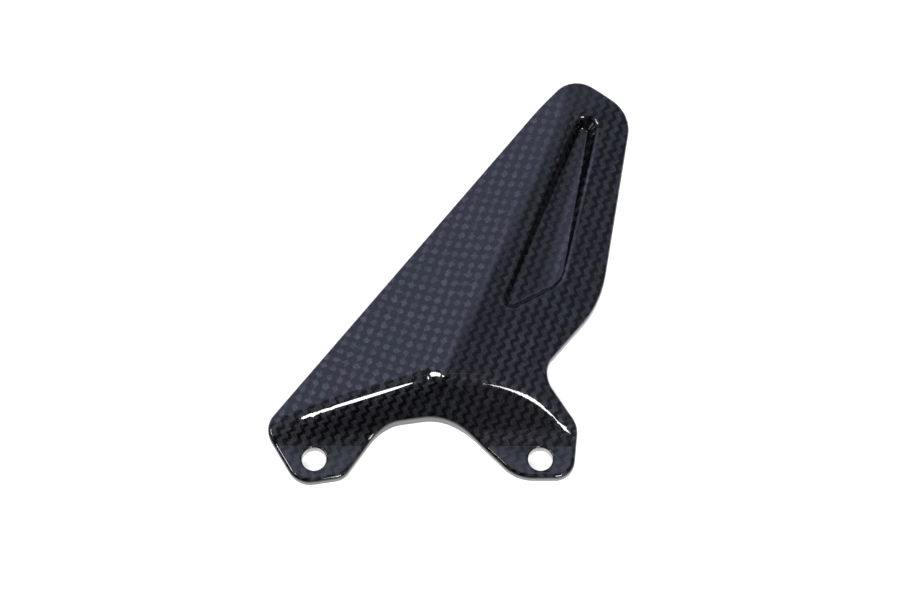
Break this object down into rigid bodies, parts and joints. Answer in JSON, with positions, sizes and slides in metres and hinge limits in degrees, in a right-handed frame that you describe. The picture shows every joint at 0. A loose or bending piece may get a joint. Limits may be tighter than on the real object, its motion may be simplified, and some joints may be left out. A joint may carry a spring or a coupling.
{
  "type": "heel guard",
  "caption": "Moulded carbon-fibre heel guard: a tapering shell with a raised ridge, a sunk panel and bolt ears, fixed beside a motorbike footrest to keep the boot off chain and wheel.",
  "frame": {"origin": "midway between the two bolt holes, on the mounting face under the ears", "axes": "+X from the left hole to the right hole, +Y up the guard to its tip, +Z out of the front along the bolts"},
  "size_m": [0.0976, 0.1129, 0.0154],
  "materials": {
    "carbon": "clear-coated plain weave carbon laminate"
  },
  "bodies": {
    "root": {"heel_guard": "carbon"}
  },
  "joints": []
}
